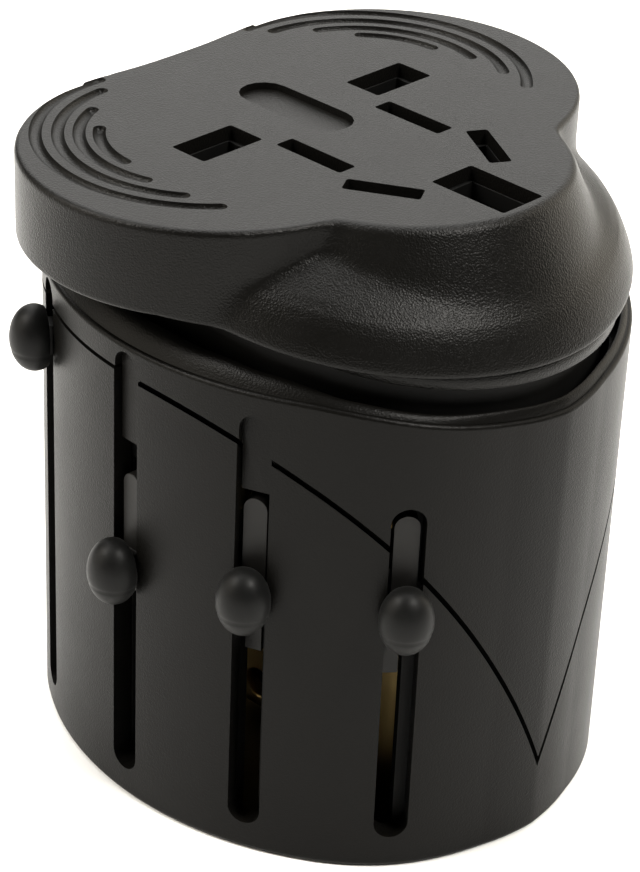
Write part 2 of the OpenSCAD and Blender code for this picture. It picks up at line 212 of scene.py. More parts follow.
class Finish:
    def __init__(self, name):
        self.material = bpy.data.materials.new(name)
        self.material.use_nodes = True
        self.nodes = self.material.node_tree.nodes
        self.links = self.material.node_tree.links
        self.shader = self.nodes["Principled BSDF"]
        self.coords = self.add("ShaderNodeTexCoord", {}, {}, "Object")

    def add(self, kind, settings, inputs, output=0):
        node = self.nodes.new(kind)
        for key, value in settings.items():
            if key == "stops":
                while len(node.color_ramp.elements) < len(value):
                    node.color_ramp.elements.new(1.0)
                for element, (at, colour) in zip(node.color_ramp.elements, value):
                    element.position = at
                    element.color = colour
            else:
                setattr(node, key, value)
        for key, value in inputs.items():
            self.feed(node.inputs[key], value)
        return Sock(self, node.outputs[output])

    def feed(self, socket, value):
        if isinstance(value, Sock):
            self.links.new(value.out, socket)
        else:
            socket.default_value = value

    def noise(self, scale, detail=2.0, roughness=0.5, vector=None):
        return self.add("ShaderNodeTexNoise", {}, {
            "Vector": vector or self.coords, "Scale": scale, "Detail": detail, "Roughness": roughness,
        }, "Fac")

    def pits(self, scale):
        return self.add("ShaderNodeTexVoronoi", {"feature": "SMOOTH_F1"}, {
            "Vector": self.coords, "Scale": scale, "Smoothness": 0.6,
        }, "Distance")

    def blendColours(self, amount, first, second):
        return self.add("ShaderNodeMix", {"data_type": "RGBA"}, {0: amount, 6: first, 7: second}, 2)

    def ramp(self, value, stops):
        return self.add("ShaderNodeValToRGB", {"stops": stops}, {"Fac": value}, "Color")

    def bump(self, height, distance, strength=1.0):
        normal = self.add("ShaderNodeBump", {}, {
            "Height": height, "Distance": distance * mm, "Strength": strength,
        })
        self.feed(self.shader.inputs["Normal"], normal)

    def set(self, **values):
        for key, value in values.items():
            self.feed(self.shader.inputs[key.replace("_", " ")], value)


def erodedPlastic(name, look):
    # injection-moulded plastic from a spark-eroded mould: tiny random pits that sparkle
    f = Finish(name)
    grain = f.noise(look["grainScale"], 3.0, 0.62)
    pits = f.pits(look["grainScale"] * 0.8)
    clouds = f.noise(look["cloudScale"], 4.0, 0.6)
    dust = f.ramp(f.noise(look["grainScale"] * 0.33, 5.0, 0.7), [
        (look["dustFrom"], (0, 0, 0, 1)), (look["dustFrom"] + 0.06, (1, 1, 1, 1)),
    ])
    tone = f.blendColours((clouds - 0.5) * 0.9 + 0.5, look["dark"], look["light"])
    tone = f.blendColours(grain * look["grainTone"], tone, look["fleck"])
    tone = f.blendColours(dust * look["dustAmount"], tone, look["dustColour"])
    f.set(
        Base_Color=tone,
        Roughness=(clouds * look["roughSpread"] + grain * 0.12 + look["rough"]).clamp(0.05, 1.0),
        Specular_IOR_Level=look["specular"],
    )
    f.bump(grain * 0.7 + pits * 0.9, look["grainDepth"], look["bumpStrength"])
    return f.material


def mouldedRubber(name, look):
    f = Finish(name)
    skin = f.noise(look["skinScale"], 4.0, 0.55)
    clouds = f.noise(look["skinScale"] * 0.12, 3.0, 0.5)
    tone = f.blendColours(clouds, look["dark"], look["light"])
    f.set(Base_Color=tone, Roughness=(skin * 0.18 + clouds * 0.12 + look["rough"]).clamp(0.05, 1.0))
    f.set(Sheen_Weight=look["sheen"], Sheen_Roughness=0.45, Specular_IOR_Level=0.13)
    f.bump(skin + clouds * 0.5, look["skinDepth"], 0.7)
    return f.material


def drawnMetal(name, look):
    # fine lines along one axis, as left by drawing or brushing
    f = Finish(name)
    stretched = f.add("ShaderNodeMapping", {}, {"Vector": f.coords, "Scale": look["lineScale"]})
    lines = f.noise(1.0, 3.0, 0.65, stretched)
    stains = f.noise(look["stainScale"], 4.0, 0.6)
    tone = f.blendColours((lines * 0.5 + stains * 0.5).clamp(), look["dark"], look["light"])
    f.set(
        Base_Color=tone, Metallic=1.0,
        Roughness=(lines * 0.16 + stains * 0.14 + look["rough"]).clamp(0.05, 1.0),
    )
    f.bump(lines, look["lineDepth"], 0.5)
    return f.material


plasticLooks = {
    "casing": {
        "dark": (0.0016, 0.0015, 0.0013, 1), "light": (0.0034, 0.0032, 0.0028, 1),
        "fleck": (0.007, 0.0066, 0.0058, 1), "grainTone": 0.3,
        "grainScale": 7200.0, "cloudScale": 160.0, "grainDepth": 0.024, "bumpStrength": 0.9,
        "rough": 0.24, "roughSpread": 0.1, "specular": 0.09,
        "dustFrom": 0.69, "dustAmount": 0.05, "dustColour": (0.12, 0.115, 0.1, 1),
    },
    "head": {
        "dark": (0.0016, 0.0015, 0.0013, 1), "light": (0.0036, 0.0034, 0.003, 1),
        "fleck": (0.008, 0.0076, 0.0068, 1), "grainTone": 0.35,
        "grainScale": 7200.0, "cloudScale": 160.0, "grainDepth": 0.038, "bumpStrength": 1.0,
        "rough": 0.21, "roughSpread": 0.1, "specular": 0.125,
        "dustFrom": 0.68, "dustAmount": 0.07, "dustColour": (0.14, 0.135, 0.12, 1),
    },
    "slider": {
        "dark": (0.005, 0.0048, 0.0044, 1), "light": (0.009, 0.0086, 0.008, 1),
        "fleck": (0.016, 0.015, 0.014, 1), "grainTone": 0.2,
        "grainScale": 3400.0, "cloudScale": 220.0, "grainDepth": 0.012, "bumpStrength": 0.5,
        "rough": 0.34, "roughSpread": 0.12, "specular": 0.2,
        "dustFrom": 0.72, "dustAmount": 0.04, "dustColour": (0.08, 0.08, 0.07, 1),
    },
    "inner": {
        "dark": (0.0012, 0.0012, 0.0012, 1), "light": (0.0026, 0.0026, 0.0024, 1),
        "fleck": (0.004, 0.004, 0.0036, 1), "grainTone": 0.2,
        "grainScale": 3000.0, "cloudScale": 220.0, "grainDepth": 0.012, "bumpStrength": 0.5,
        "rough": 0.5, "roughSpread": 0.12, "specular": 0.14,
        "dustFrom": 0.72, "dustAmount": 0.02, "dustColour": (0.05, 0.05, 0.045, 1),
    },
}
casingPlastic = erodedPlastic("casingPlastic", plasticLooks["casing"])
headPlastic = erodedPlastic("headPlastic", plasticLooks["head"])
innerPlastic = erodedPlastic("innerPlastic", plasticLooks["inner"])
sliderPlastic = erodedPlastic("sliderPlastic", plasticLooks["slider"])
knobRubber = mouldedRubber("knobRubber", {
    "dark": (0.0022, 0.0023, 0.0022, 1), "light": (0.0045, 0.0046, 0.0044, 1),
    "skinScale": 2600.0, "skinDepth": 0.012, "rough": 0.3, "sheen": 0.02,
})
pinBrass = drawnMetal("pinBrass", {
    "dark": (0.52, 0.36, 0.13, 1), "light": (0.74, 0.56, 0.25, 1),
    "lineScale": (2600.0, 2600.0, 160.0), "stainScale": 420.0, "rough": 0.18, "lineDepth": 0.006,
})
pinNickel = drawnMetal("pinNickel", {
    "dark": (0.55, 0.54, 0.51, 1), "light": (0.78, 0.77, 0.74, 1),
    "lineScale": (2200.0, 2200.0, 240.0), "stainScale": 380.0, "rough": 0.12, "lineDepth": 0.004,
})
contactBrass = drawnMetal("contactBrass", {
    "dark": (0.42, 0.29, 0.11, 1), "light": (0.68, 0.5, 0.22, 1),
    "lineScale": (200.0, 2400.0, 2400.0), "stainScale": 300.0, "rough": 0.26, "lineDepth": 0.006,
})
zincSteel = drawnMetal("zincSteel", {
    "dark": (0.36, 0.37, 0.38, 1), "light": (0.62, 0.63, 0.64, 1),
    "lineScale": (1800.0, 1800.0, 1800.0), "stainScale": 500.0, "rough": 0.24, "lineDepth": 0.006,
})
print("finishes made")


# the body's outline and its four slots, in millimetres

bodyPlan = {
    "sideRadius": 33.7, "sideOffset": 8.63, "endRadius": 23.4, "endOffset": 5.65,
    "sideReach": 18.39,  # how far the side arcs run along Y before the end arcs take over
    "prowDepth": 0.3, "prowWidth": 6.0, "prowFade": 16.0,  # soft upright edge down the middle of the front
}


def bodyPoint(angle, inset=0.0):
    # a point of the outline whose outward normal has this angle, moved inwards by inset
    c, s = math.cos(angle), math.sin(angle)
    turn = math.asin(bodyPlan["sideReach"] / bodyPlan["sideRadius"])
    if abs(s) <= math.sin(turn):
        x = (bodyPlan["sideRadius"] - inset) * c - math.copysign(bodyPlan["sideOffset"], c)
        y = (bodyPlan["sideRadius"] - inset) * s
    else:
        x = (bodyPlan["endRadius"] - inset) * c
        y = math.copysign(bodyPlan["endOffset"], s) + (bodyPlan["endRadius"] - inset) * s
    if s < 0:
        w, fade = bodyPlan["prowWidth"], bodyPlan["prowFade"]
        near = min(abs(x) / w, 1.0)
        far = min(max((abs(x) - w) / (fade - w), 0.0), 1.0)
        dip = bodyPlan["prowDepth"] * near * (1 - far * far * (3 - 2 * far))
        x, y = x - c * dip, y - s * dip
    return x, y


sideArc = {"centre": (bodyPlan["sideOffset"], 0.0), "radius": bodyPlan["sideRadius"]}
frontArc = {"centre": (0.0, -bodyPlan["endOffset"]), "radius": bodyPlan["endRadius"]}
slotPlan = {
    "uk": {**sideArc, "turn": -29.0}, "eu": {**sideArc, "turn": -2.0},
    "us": {**sideArc, "turn": 22.0}, "aus": {**frontArc, "turn": 51.4},
}


def slotPlace(name):
    # (depth, sideways, height) on a slot to the object's own frame; depth 0 is the casing's surface
    plan = slotPlan[name]
    a = math.radians(plan["turn"])
    cx, cy = plan["centre"]

    def place(depth, side, z):
        x = depth - plan["radius"]
        return (cx + x * math.cos(a) - side * math.sin(a), cy + x * math.sin(a) + side * math.cos(a), z)

    return place


def slotCutter(name, depths, width, low, high, roundTop=True, roundLow=True):
    # upright block through the wall, its ends round or square
    place = slotPlace(name)
    r = width / 2
    halfTurn = [math.pi * k / 16 for k in range(17)]
    foot, head = [(-r, low), (r, low)], [(r, high), (-r, high)]
    if roundLow:
        foot = [(-r * math.cos(t), low + r - r * math.sin(t)) for t in halfTurn]
    if roundTop:
        head = [(r * math.cos(t), high - r + r * math.sin(t)) for t in halfTurn]
    return extrudeOutline("cutter", foot + head, lambda u, v, end: place(depths[end], u, v))


# casings

casingSizes = {
    "wall": 2.0, "footRound": 0.6, "rimHeight": 48.9, "rimDrop": 3.0, "rimRound": 0.45,
    "deckLow": 44.6, "deckTop": 45.5, "openingRadius": 20.95,
    "shoulder": ((0.0, 2.3, 1.9), (-8.0, 2.1, 1.6), (-13.0, 1.8, 1.2), (-20.0, 1.25, 0.5), (-24.0, 1.05, 0.5),
                 (-29.1, 0.95, 0.9)),  # along the body: inset and rise of the shoulder's inner edge
    "splitHeight": 46.3, "splitTip": 8.2, "splitGap": 0.42, "splitCentre": (111.0, -37.84),
    "slotWidth": 3.2, "slotLow": 3.0, "windowTop": 38.8,
    "fingerWidth": 2.75, "fingerDepth": 0.8, "segments": 288, "edge": 0.14,
    "rimStart": -15.5, "rimRun": 13.5,  # the rim dips from here towards the front
    "openingMiddle": (-1.4, 4.9),
}


def rimHeight(y):
    drop = max((casingSizes["rimStart"] - y) / casingSizes["rimRun"], 0.0)
    return casingSizes["rimHeight"] - casingSizes["rimDrop"] * drop * drop


def shoulderAt(y):
    table = casingSizes["shoulder"]
    if y >= table[0][0]:
        return table[0][1], table[0][2]
    for (y0, in0, up0), (y1, in1, up1) in zip(table, table[1:]):
        if y >= y1:
            f = (y0 - y) / (y0 - y1)
            f = f * f * (3 - 2 * f)
            return in0 + (in1 - in0) * f, up0 + (up1 - up0) * f
    return table[-1][1], table[-1][2]


def openingPoint(angle):
    # a round opening, stretched along the body
    s = math.sin(angle)
    middle, stretch = casingSizes["openingMiddle"]
    cy = middle + stretch * min(max(s / 0.15, -1.0), 1.0)
    return casingSizes["openingRadius"] * math.cos(angle), cy + casingSizes["openingRadius"] * s


def bodyShell():
    # rings from the foot up the wall, over the shoulder, down through the opening and back inside
    size = casingSizes
    rings = []
    angles = [-math.pi / 2 + 2 * math.pi * k / size["segments"] for k in range(size["segments"])]

    def wallRing(inset, height):
        ring = []
        for a in angles:
            x, y = bodyPoint(a, inset)
            ring.append((x, y, height(bodyPoint(a)[1])))
        rings.append(ring)

    r = size["footRound"]
    for k in range(5):
        t = math.pi / 2 * k / 4
        wallRing(r * (1 - math.sin(t)), lambda y, z=r * (1 - math.cos(t)): z)
    for z in range(4, 44, 4):
        wallRing(0.0, lambda y, z=z: z)
    r = size["rimRound"]
    for k in range(6):
        t = math.pi / 2 * k / 5
        wallRing(r * (1 - math.cos(t)), lambda y, z=r * math.sin(t): rimHeight(y) - r + z)
    for k in range(1, 7):  # the sloping shoulder, with a rounded inner edge
        f = k / 6
        ring = []
        for a in angles:
            y = bodyPoint(a)[1]
            inset, rise = shoulderAt(y)
            px, py = bodyPoint(a, r + (inset - r) * f)
            ring.append((px, py, rimHeight(y) + rise * math.sin(f * math.pi / 2) ** 0.9))
        rings.append(ring)
    for extra, down in ((0.1, 0.08), (0.17, 0.25), (0.18, 0.6)):
        ring = []
        for a in angles:
            y = bodyPoint(a)[1]
            inset, rise = shoulderAt(y)
            ring.append((*bodyPoint(a, inset + extra), rimHeight(y) + rise - down))
        rings.append(ring)
    rings.append([(*bodyPoint(a, shoulderAt(bodyPoint(a)[1])[0] + 0.18), size["deckTop"]) for a in angles])
    rings.append([(*openingPoint(a), size["deckTop"]) for a in angles])
    rings.append([(*openingPoint(a), size["deckLow"]) for a in angles])
    inner = [max(bodyPoint(a, size["wall"]), openingPoint(a), key=lambda p: math.hypot(*p)) for a in angles]
    rings.append([(*p, size["deckLow"] - 0.01) for p in inner])
    rings.append([(*bodyPoint(a, size["wall"]), size["deckLow"] - 1.0) for a in angles])
    rings.append([(*bodyPoint(a, size["wall"]), 0.0) for a in angles])
    n = size["segments"]
    points = [p for ring in rings for p in ring]
    faces = []
    for j in range(len(rings)):
        k = (j + 1) % len(rings)
        faces += ringFaces(j * n, k * n, n)
    return meshFrom("bodyShell", points, faces)


def underSplit(gap, name):
    # block that fills everything under the parting line
    cx, cz = casingSizes["splitCentre"]
    radius = math.hypot(cx, casingSizes["splitTip"] - cz) - gap
    top = casingSizes["splitHeight"] - gap
    xEnd = 27.0
    right = []
    for k in range(57):
        x = xEnd * k / 56
        z = cz + math.sqrt(radius * radius - (x - cx) ** 2)
        right.append((x, min(z, top)))
    outline = [(-x, z) for x, z in reversed(right)] + right[1:]
    outline = [(-40.0, -5.0), (-40.0, top)] + outline + [(40.0, top), (40.0, -5.0)]
    front = extrudeOutline(name, outline, lambda u, v, end: (u, [-40.0, 0.0][end], v))
    back = [(-40.0, -5.0), (-40.0, top), (40.0, top), (40.0, -5.0)]
    rear = extrudeOutline("rear", back, lambda u, v, end: (u, [-0.5, 40.0][end], v))
    return carve(front, [rear], "UNION")


def makeCasings():
    size = casingSizes
    low, high, wide = size["slotLow"], size["rimHeight"] - 0.7, size["slotWidth"]
    through = (-1.5, 3.4)
    shell = bodyShell()
    upper = newObject("upperCasing", shell.data.copy())
    lower = shell
    lower.name = "lowerCasing"
    carve(upper, [underSplit(0.0, "upperCut")])
    carve(upper, [
        slotCutter("eu", (0.4, 1.9), size["fingerWidth"], size["windowTop"], 47.2, False, False),
        slotCutter("us", (0.4, 1.9), size["fingerWidth"], size["windowTop"], 47.2, False, False),
    ], "UNION")
    carve(lower, [underSplit(size["splitGap"], "lowerKeep")], "INTERSECT")
    carve(lower, [
        slotCutter("uk", through, wide, low, high),
        slotCutter("eu", through, wide, low, 60.0),
        slotCutter("us", through, wide, low, 60.0),
        slotCutter("aus", through, wide, low + 0.5, size["windowTop"] + 0.4),
    ])
    carve(upper, [
        slotCutter("uk", (-1.5, 6.0), wide, low, high),
        slotCutter("aus", through, wide, low + 0.5, size["windowTop"] + 0.4),
        slotCutter("eu", (-1.5, size["fingerDepth"]), size["fingerWidth"] + 0.15, 30.0, 48.2),
        slotCutter("us", (-1.5, size["fingerDepth"]), size["fingerWidth"] + 0.15, 30.0, 46.7),
    ])
    for piece, node in ((upper, "upper_casing"), (lower, "lower_casing")):
        softenEdges(piece, size["edge"], 38)
        evenNormals(piece)
        finishPiece(piece, "casing", "casing_black", casingPlastic, node)
    print("casings:", len(upper.data.polygons), len(lower.data.polygons))


makeCasings()


# head

headSizes = {
    "top": 63.0, "lobes": ((11.1, 4.5, 18.0), (-11.1, 4.5, 18.0)), "backFlat": 22.5,
    "nose": (-7.5, 15.4), "noseLow": (-9.7, 18.85), "ledgeCentre": -4.8,
    "ledge": ((8.4, 13.2), (7.6, 15.8), (6.9, 17.6), (6.2, 18.9), (5.4, 20.1), (4.6, 21.2), (3.8, 22.1),
              (3.0, 22.65), (2.2, 23.05), (1.4, 23.4), (0.6, 23.65), (0.0, 23.7)),
    "low": 54.6, "frontLow": 51.0, "centre": (0.0, -1.0), "edgeRound": 0.6, "wall": 1.8, "face": 1.4,
    "segments": 480, "soft": 0.6, "coveSoft": 0.4, "frontLimit": -29.0,
}


def rayCircle(origin, direction, centre, radius):
    ox, oy = origin[0] - centre[0], origin[1] - centre[1]
    b = ox * direction[0] + oy * direction[1]
    c = ox * ox + oy * oy - radius * radius
    root = b * b - c
    return -b + math.sqrt(root) if root > 0 else 0.0


def softMax(values, soft):
    top = max(values)
    return top + soft * math.log(sum(math.exp((v - top) / soft) for v in values))


def ledgeRadius(rise):
    # the ledge follows the sloping underside, so its radius goes by the height above that
    table = headSizes["ledge"]
    if rise >= table[0][0]:
        return max(table[0][1] - (rise - table[0][0]) * 3.5, 1.0)
    for (z0, r0), (z1, r1) in zip(table, table[1:]):
        if rise >= z1:
            return r0 + (r1 - r0) * (z0 - rise) / (z0 - z1)
    return table[-1][1]


def headLow(y):
    if y >= -4.5:
        return headSizes["low"]
    return headSizes["low"] - (headSizes["low"] - headSizes["frontLow"]) * (-4.5 - y) / 24.5


def headRadius(angle, z, inset=0.0):
    size = headSizes
    origin, way = size["centre"], (math.cos(angle), math.sin(angle))
    reach = [rayCircle(origin, way, (x, y), r) for x, y, r in size["lobes"]]
    if way[1] > 0.3:  # flat back between the lobes
        toBack = (size["backFlat"] - origin[1]) / way[1]
        if abs(way[0] * toBack) <= 11.1:
            reach.append(toBack - 0.25)
    k = min(max((size["top"] - z) / (size["top"] - size["frontLow"]), 0.0), 1.0)
    k = k * (1.12 - 0.12 * k)
    noseY = size["nose"][0] + (size["noseLow"][0] - size["nose"][0]) * k
    noseR = size["nose"][1] + (size["noseLow"][1] - size["nose"][1]) * k
    reach.append(rayCircle(origin, way, (0.0, noseY), noseR))
    hard = max(reach)
    if way[1] < 0.5:
        rough = max(reach)
        for _ in range(6):
            base = headLow(min(origin[1] + way[1] * rough, -4.5))
            rough = rayCircle(origin, way, (0.0, size["ledgeCentre"]), ledgeRadius(z - base))
        reach.append(rough)
    else:
        reach.append(0.0)
    walls = min(softMax(reach[:-1], size["soft"]), hard + 0.35)
    if reach[-1] > walls - 6:
        walls = softMax([walls, reach[-1]], size["coveSoft"])
    if way[1] < -0.1:
        walls = min(walls, (origin[1] - size["frontLimit"]) / -way[1])
    return walls - inset


def headRing(angles, height, inset):
    # height: fraction of the way down from the top to the sloping underside
    size = headSizes
    ring = []
    for a in angles:
        z = size["top"]
        for _ in range(4):
            r = headRadius(a, z, inset)
            x, y = size["centre"][0] + r * math.cos(a), size["centre"][1] + r * math.sin(a)
            z = height(headLow(y))
        ring.append((x, y, z))
    return ring


def headShell():
    size = headSizes
    n = size["segments"]
    angles = [-math.pi / 2 + 2 * math.pi * k / n for k in range(n)]
    top, r = size["top"], size["edgeRound"]
    edge = []  # the rounded top edge, from the flat face outwards
    for k in range(4, -1, -1):
        t = math.pi / 2 * k / 4
        edge.append(headRing(angles, lambda low, z=top - r * (1 - math.sin(t)): z, r * (1 - math.cos(t))))
    steps = 44
    wallRings = [headRing(angles, lambda low, f=k / steps: top - r - (top - r - low - 0.35) * f, 0.0)
                 for k in range(1, steps + 1)]
    foot = [headRing(angles, lambda low, z=z: low + z, inset)
            for z, inset in ((0.17, 0.05), (0.05, 0.17), (0.0, 0.35))]
    inner = [headRing(angles, lambda low: low, size["wall"])]
    inner += [headRing(angles, lambda low, f=f: low + (top - size["face"] - low) * f, size["wall"])
              for f in (0.25, 0.5, 0.75, 1.0)]
    rings = edge + wallRings + foot + inner
    points = [p for ring in rings for p in ring]
    faces = [list(range(n)), list(range((len(rings) - 1) * n, len(rings) * n))]
    for j in range(len(rings) - 1):
        faces += ringFaces(j * n, (j + 1) * n, n)
    return meshFrom("headShell", points, faces)


openingSizes = {
    "main": (11.1, 4.5, 7.25, 4.14), "blade": (6.35, -3.07, 2.05, 7.9),
    "slanted": (6.85, -11.8, 2.1, 7.0, 30.0), "earth": (-17.7, 5.17, 8.38),
    "recess": (5.7, 4.9, 12.9, 0.7), "corner": 0.28,
}


def roundedBox(width, depth, corner, steps=4):
    points = []
    for sx, sy, start in ((1, 1, 0), (-1, 1, 90), (-1, -1, 180), (1, -1, 270)):
        for k in range(steps + 1):
            a = math.radians(start + 90 * k / steps)
            points.append((sx * (width / 2 - corner) + corner * math.cos(a),
                           sy * (depth / 2 - corner) + corner * math.sin(a)))
    return points


def faceCutter(cx, cy, width, depth, turn, corner, low, high):
    a = math.radians(turn)
    outline = roundedBox(width, depth, corner)

    def place(u, v, end):
        x, y = cx + u * math.cos(a) - v * math.sin(a), cy + u * math.sin(a) + v * math.cos(a)
        return x, y, (low, high)[end]

    return extrudeOutline("opening", outline, place)


def nodeTreeFor(name, inputs):
    tree = bpy.data.node_groups.new(name, "GeometryNodeTree")
    for label, kind, value in inputs:
        socket = tree.interface.new_socket(label, in_out="INPUT", socket_type=kind)
        if value is not None:
            socket.default_value = value
    tree.interface.new_socket("Geometry", in_out="OUTPUT", socket_type="NodeSocketGeometry")
    return tree


def growNodes(tree, name, settings, material=None):
    # runs a tree on an empty mesh and keeps the result as plain mesh
    obj = newObject(name, bpy.data.meshes.new(name))
    step = obj.modifiers.new("grow", "NODES")
    step.node_group = tree
    labels = {item.name: item.identifier for item in tree.interface.items_tree if item.in_out == "INPUT"}
    for label, value in settings.items():
        step[labels[label]] = value
    if material:
        step[labels["Material"]] = material
    return flatten(obj)


def placeNode(tree, kind, inputs=(), **settings):
    # a node with its settings first, then the value or the link of each socket
    node = tree.nodes.new(kind)
    for key, value in settings.items():
        setattr(node, key, value)
    for key, value in dict(inputs).items():
        if isinstance(value, bpy.types.NodeSocket):
            tree.links.new(value, node.inputs[key])
        else:
            node.inputs[key].default_value = value
    return node


def timesNumber(tree, socket, number):
    return placeNode(tree, "ShaderNodeMath", {0: socket, 1: number}, operation="MULTIPLY").outputs[0]


def closeTree(tree, start, geometry):
    real = placeNode(tree, "GeometryNodeRealizeInstances", {0: geometry})
    paint = placeNode(tree, "GeometryNodeSetMaterial", {
        "Geometry": real.outputs[0], "Material": start.outputs["Material"],
    })
    placeNode(tree, "NodeGroupOutput", {0: paint.outputs[0]})
    return tree


def grooveTree():
    # a round rod along an arc, with a ball on each end
    tree = nodeTreeFor("gripGroove", [
        ("Radius", "NodeSocketFloat", 0.01), ("Half Angle", "NodeSocketFloat", 1.0),
        ("Width", "NodeSocketFloat", 0.001), ("Material", "NodeSocketMaterial", None),
    ])
    start = placeNode(tree, "NodeGroupInput")
    half = timesNumber(tree, start.outputs["Width"], 0.5)
    arc = placeNode(tree, "GeometryNodeCurveArc", {
        "Resolution": 64, "Radius": start.outputs["Radius"],
        "Start Angle": timesNumber(tree, start.outputs["Half Angle"], -1.0),
        "Sweep Angle": timesNumber(tree, start.outputs["Half Angle"], 2.0),
    }).outputs["Curve"]
    ring = placeNode(tree, "GeometryNodeCurvePrimitiveCircle", {"Resolution": 16, "Radius": half})
    rod = placeNode(tree, "GeometryNodeCurveToMesh", {
        "Curve": arc, "Profile Curve": ring.outputs["Curve"], "Fill Caps": True,
    })
    ball = placeNode(tree, "GeometryNodeMeshUVSphere", {"Segments": 16, "Rings": 8, "Radius": half})
    onEnds = placeNode(tree, "GeometryNodeInstanceOnPoints", {
        "Points": arc, "Selection": placeNode(tree, "GeometryNodeCurveEndpointSelection").outputs[0],
        "Instance": ball.outputs["Mesh"],
    })
    join = placeNode(tree, "GeometryNodeJoinGeometry")
    tree.links.new(rod.outputs["Mesh"], join.inputs[0])
    tree.links.new(onEnds.outputs["Instances"], join.inputs[0])
    return closeTree(tree, start, join.outputs[0])


gripGrooves = {
    "centre": (10.5, 6.8), "middleAngle": 24.3, "width": 1.2, "lift": 0.05,
    "arcs": ((15.1, 72.5, -3.5), (13.1, 63.0, 0.0), (11.2, 44.0, 0.0), (9.4, 23.0, 0.0)),
}


def grooveCutters():
    tree = grooveTree()
    made = []
    for side in (1, -1):
        for radius, half, shift in gripGrooves["arcs"]:
            groove = growNodes(tree, "groove", {
                "Radius": radius * mm, "Half Angle": math.radians(half), "Width": gripGrooves["width"] * mm,
            }, innerPlastic)
            cx, cy = gripGrooves["centre"]
            middle = gripGrooves["middleAngle"] + shift
            turn = math.radians(middle if side > 0 else 180 - middle)
            lift = headSizes["top"] + gripGrooves["lift"]
            place = Matrix.Translation(Vector((side * cx, cy, lift)) * mm)
            groove.data.transform(place @ Matrix.Rotation(turn, 4, "Z"))
            made.append(groove)
    bpy.data.node_groups.remove(tree)
    return made


def makeHead():
    head = headShell()
    top = headSizes["top"]
    low, high = top - headSizes["face"] - 0.6, top + 1.0
    size = openingSizes
    cutters = []
    for s in (-1, 1):
        x, y, w, d = size["main"]
        cutters.append(faceCutter(s * x, y, w, d, 0.0, size["corner"], low, high))
        x, y, w, d = size["blade"]
        cutters.append(faceCutter(s * x, y, w, d, 0.0, size["corner"], low, high))
        x, y, w, d, turn = size["slanted"]
        cutters.append(faceCutter(s * x, y, w, d, -s * turn, size["corner"], low, high))
    y, w, d = size["earth"]
    cutters.append(faceCutter(0.0, y, w, d, 0.0, size["corner"], low, high))
    y, w, d, deep = size["recess"]
    cutters.append(faceCutter(0.0, y, w, d, 0.0, w / 2 - 0.01, top - deep, high))
    carve(head, cutters)
    carve(head, grooveCutters(), overlapping=True)
    head.name = "headShell"
    softenEdges(head, 0.16, 44)
    evenNormals(head)
    finishPiece(head, "head", "head_black", headPlastic, "head_shell")
    print("head:", len(head.data.polygons))


makeHead()


lipShape = {"centre": (0.0, -9.3), "radius": 19.06, "thick": 0.6, "depth": 1.62, "gap": 0.2, "segments": 120}


def makeLip():
    # band under the front of the head, set back a little with a fine line above it
    shape = lipShape
    cx, cy = shape["centre"]
    profile = [(0.08, shape["gap"]), (0.0, shape["gap"] + 0.08), (0.0, shape["depth"] - 0.15),
               (0.15, shape["depth"]), (shape["thick"], shape["depth"]), (shape["thick"], shape["gap"])]
    points, faces = [], []
    count, n = len(profile), shape["segments"]
    for k in range(n + 1):
        a = math.pi + math.pi * k / n
        for inset, down in profile:
            x = cx + (shape["radius"] - inset) * math.cos(a)
            y = cy + (shape["radius"] - inset) * math.sin(a)
            points.append((x, y, headLow(y) + 0.02 - down))
    for k in range(n):
        faces += ringFaces(k * count, (k + 1) * count, count)
    faces += [list(range(count)), list(range(n * count, (n + 1) * count))]
    lip = meshFrom("headLip", points, faces)
    smoothShade(lip, 50)
    finishPiece(lip, "head", "inner_black", headPlastic, "head_skirt")


makeLip()


# knobs

knobShape = {
    "width": 5.0, "height": 6.6, "depth": 4.7, "stand": 1.4, "cutBack": 0.32,
    "seamHeight": -1.05, "seamWidth": 0.16, "seamDepth": 0.07, "rings": 48, "segments": 56,
}


def makeKnob(name, node, body):
    shape = knobShape
    lowBox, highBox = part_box(node)
    zMid = (lowBox.z + highBox.z) / 2 / mm
    place = slotPlace(name)
    seg, count = shape["segments"], shape["rings"]
    points, faces = [], []
    for j in range(1, count):
        t = math.pi * j / count
        z = shape["height"] / 2 * math.cos(t)
        seam = math.exp(-((z - shape["seamHeight"]) / shape["seamWidth"]) ** 2) * shape["seamDepth"]
        spread = math.sin(t) ** 0.94
        for i in range(seg):
            a = 2 * math.pi * i / seg
            across = (shape["width"] / 2 - seam) * spread * math.sin(a)
            out = (shape["depth"] / 2 - seam) * spread * math.cos(a)
            depth = min(-shape["stand"] - out, -shape["cutBack"])
            points.append(place(depth, across, zMid + z))
    for j in range(count - 2):
        faces += ringFaces(j * seg, (j + 1) * seg, seg)
    points += [place(-shape["stand"], 0, zMid + end * shape["height"] / 2) for end in (1, -1)]
    faces += [[(i + 1) % seg, i, len(points) - 2] for i in range(seg)]
    base = (count - 2) * seg
    faces += [[base + i, base + (i + 1) % seg, len(points) - 1] for i in range(seg)]
    knob = meshFrom(body[:-4] + "Knob", points, faces)
    smoothShade(knob, 50)
    return finishPiece(knob, body, "knob_grey", knobRubber, node)


for short in slotPlan:
    makeKnob(short, short + "_knob", short + "_plug")
print("knobs done")


# springs under the head

springShape = {"turns": 9.0, "radius": 1.9, "wire": 0.22, "places": ((14.8, 10.4), (-14.8, 10.4))}


